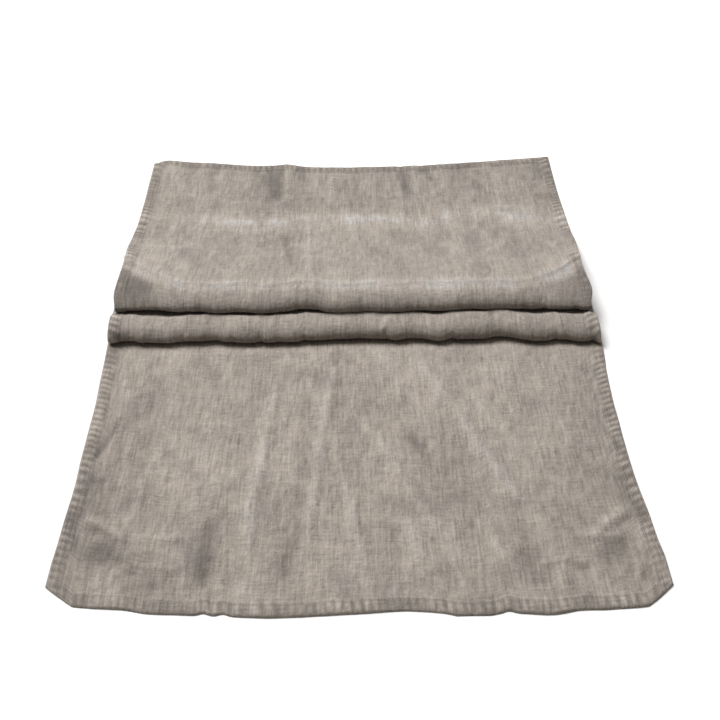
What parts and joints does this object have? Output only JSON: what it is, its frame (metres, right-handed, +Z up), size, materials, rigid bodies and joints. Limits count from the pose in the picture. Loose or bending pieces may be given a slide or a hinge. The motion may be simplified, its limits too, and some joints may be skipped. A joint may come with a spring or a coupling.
{
  "type": "table runner",
  "caption": "Hemmed linen table runner lying flat, with two soft full-width pleats across its middle that pull open towards the back.",
  "frame": {"origin": "on the table, in the middle of the ground that the folded runner covers", "axes": "+X across the runner to the right, +Y along it from the front edge to the back edge, +Z up from the table"},
  "size_m": [0.45, 0.604, 0.03],
  "materials": {
    "linen": "matte",
    "thread": "matte"
  },
  "bodies": {
    "front": {"front_panel": "linen", "front_panel_left_hem": "linen", "front_panel_left_stitches": "thread", "front_panel_right_hem": "linen", "front_panel_right_stitches": "thread", "front_hem": "linen", "front_hem_stitches": "thread", "lower_pleat_inside": "linen", "lower_pleat_inside_left_hem": "linen", "lower_pleat_inside_left_stitches": "thread", "lower_pleat_inside_right_hem": "linen", "lower_pleat_inside_right_stitches": "thread"},
    "pleat": {"lower_pleat": "linen", "lower_pleat_left_hem": "linen", "lower_pleat_left_stitches": "thread", "lower_pleat_right_hem": "linen", "lower_pleat_right_stitches": "thread", "upper_pleat_inside": "linen", "upper_pleat_inside_left_hem": "linen", "upper_pleat_inside_left_stitches": "thread", "upper_pleat_inside_right_hem": "linen", "upper_pleat_inside_right_stitches": "thread"},
    "back": {"back_panel": "linen", "back_panel_left_hem": "linen", "back_panel_left_stitches": "thread", "back_panel_right_hem": "linen", "back_panel_right_stitches": "thread", "back_hem": "linen", "back_hem_stitches": "thread"}
  },
  "joints": [
    {"name": "lower_pleat_pull", "type": "slide", "parent": "front", "child": "pleat", "axis": [0, 1, 0], "range_m": [0, 0.22], "deforming": ["lower_pleat_inside", "lower_pleat_inside_left_hem", "lower_pleat_inside_left_stitches", "lower_pleat_inside_right_hem", "lower_pleat_inside_right_stitches"]},
    {"name": "upper_pleat_pull", "type": "slide", "parent": "pleat", "child": "back", "axis": [0, 1, 0], "range_m": [0, 0.13], "deforming": ["upper_pleat_inside", "upper_pleat_inside_left_hem", "upper_pleat_inside_left_stitches", "upper_pleat_inside_right_hem", "upper_pleat_inside_right_stitches"]}
  ]
}
